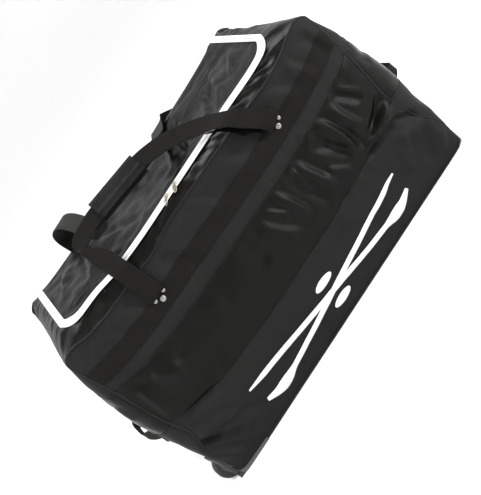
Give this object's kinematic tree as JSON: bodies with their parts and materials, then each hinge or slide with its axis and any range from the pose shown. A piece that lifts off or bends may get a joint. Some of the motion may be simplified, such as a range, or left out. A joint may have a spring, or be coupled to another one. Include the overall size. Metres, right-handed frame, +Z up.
{
  "type": "wheeled hockey equipment bag",
  "caption": "Wheeled soft bag for ice hockey gear, with a U-zip lid, riveted carry handles, end handles and corner wheels.",
  "frame": {"origin": "centre of the footprint, on the floor that the bag stands on", "axes": "+X along the bag, away from the wheels; front face towards -Y; +Z up"},
  "size_m": [1.0068, 0.498, 0.5904],
  "materials": {
    "matte_fabric": "matte coated woven polyester",
    "satin_fabric": "satin coated nylon with a soft shine",
    "webbing": "flat woven webbing",
    "piping": "smooth welt cord",
    "zip_tape": "white woven tape",
    "zip_coil": "white nylon coil",
    "nickel": "warm nickel plate",
    "housing_plastic": "moulded, fine grain",
    "board": "extruded sheet",
    "tyre": "cast polyurethane",
    "steel": "zinc plated"
  },
  "bodies": {
    "bag": {"bottom_panel": "matte_fabric", "base_board": "board", "front_lower_panel": "matte_fabric", "front_middle_panel": "satin_fabric", "front_upper_panel": "matte_fabric", "rear_lower_panel": "matte_fabric", "rear_middle_panel": "satin_fabric", "rear_upper_panel": "matte_fabric", "left_end_panel": "matte_fabric", "right_end_panel": "matte_fabric", "front_gusset": "satin_fabric", "rear_gusset": "satin_fabric", "left_gusset": "satin_fabric", "right_gusset": "satin_fabric", "bag_zip_tape": "zip_tape", "zip_coil": "zip_coil", "front_piping": "piping", "rear_piping": "piping", "front_web_band": "webbing", "rear_web_band": "webbing", "handle_anchors": "webbing", "large_rivets": "nickel", "small_rivets": "nickel", "rivet_washers": "nickel", "left_end_handle": "webbing", "right_end_handle": "webbing", "front_wheel_housing": "housing_plastic", "rear_wheel_housing": "housing_plastic", "housing_screws": "steel", "wheel_axles": "steel", "axle_bushes": "housing_plastic", "axle_clips": "steel"},
    "lid": {"lid_panel": "satin_fabric", "lid_zip_tape": "zip_tape"},
    "left_zip_slider": {"left_slider": "nickel"},
    "right_zip_slider": {"right_slider": "nickel"},
    "left_zip_pull": {"left_pull": "nickel"},
    "right_zip_pull": {"right_pull": "nickel"},
    "front_handle": {"front_handle_web": "webbing", "grip_front_pad": "satin_fabric"},
    "rear_handle": {"rear_handle_web": "webbing", "grip_rear_pad": "satin_fabric"},
    "front_wheel": {"front_tyre": "tyre", "front_hub": "housing_plastic", "front_bearings": "steel"},
    "rear_wheel": {"rear_tyre": "tyre", "rear_hub": "housing_plastic", "rear_bearings": "steel"}
  },
  "joints": [
    {"name": "lid_fold", "type": "hinge", "parent": "bag", "child": "lid", "pos_m": [0, 0.2, 0.4965], "axis": [-1, 0, 0], "range_deg": [0, 105]},
    {"name": "front_handle_swing", "type": "hinge", "parent": "bag", "child": "front_handle", "pos_m": [0, -0.2412, 0.391], "axis": [1, 0, 0], "range_deg": [0, 165]},
    {"name": "rear_handle_swing", "type": "hinge", "parent": "bag", "child": "rear_handle", "pos_m": [0, 0.2412, 0.391], "axis": [-1, 0, 0], "range_deg": [0, 165]},
    {"name": "left_slider_run", "type": "slide", "parent": "bag", "child": "left_zip_slider", "axis": [-1, 0, 0], "range_m": [0, 0.29]},
    {"name": "right_slider_run", "type": "slide", "parent": "bag", "child": "right_zip_slider", "axis": [1, 0, 0], "range_m": [0, 0.32]},
    {"name": "left_pull_lift", "type": "hinge", "parent": "left_zip_slider", "child": "left_zip_pull", "pos_m": [-0.036, -0.18284, 0.48639], "axis": [-1, 0, 0], "range_deg": [0, 120]},
    {"name": "right_pull_lift", "type": "hinge", "parent": "right_zip_slider", "child": "right_zip_pull", "pos_m": [-0.006, -0.18284, 0.48639], "axis": [-1, 0, 0], "range_deg": [0, 120]},
    {"name": "front_wheel_spin", "type": "hinge", "parent": "bag", "child": "front_wheel", "pos_m": [-0.436, -0.208, 0.036], "axis": [0, 1, 0], "continuous": true},
    {"name": "rear_wheel_spin", "type": "hinge", "parent": "bag", "child": "rear_wheel", "pos_m": [-0.436, 0.208, 0.036], "axis": [0, 1, 0], "continuous": true}
  ],
  "couplings": [
    {"joint": "front_handle_swing", "follows": "lid_fold", "ratio": 1.55},
    {"joint": "rear_handle_swing", "follows": "lid_fold", "ratio": 1.55},
    {"joint": "left_slider_run", "follows": "lid_fold", "m_per_rad": 0.155},
    {"joint": "right_slider_run", "follows": "lid_fold", "m_per_rad": 0.172}
  ]
}
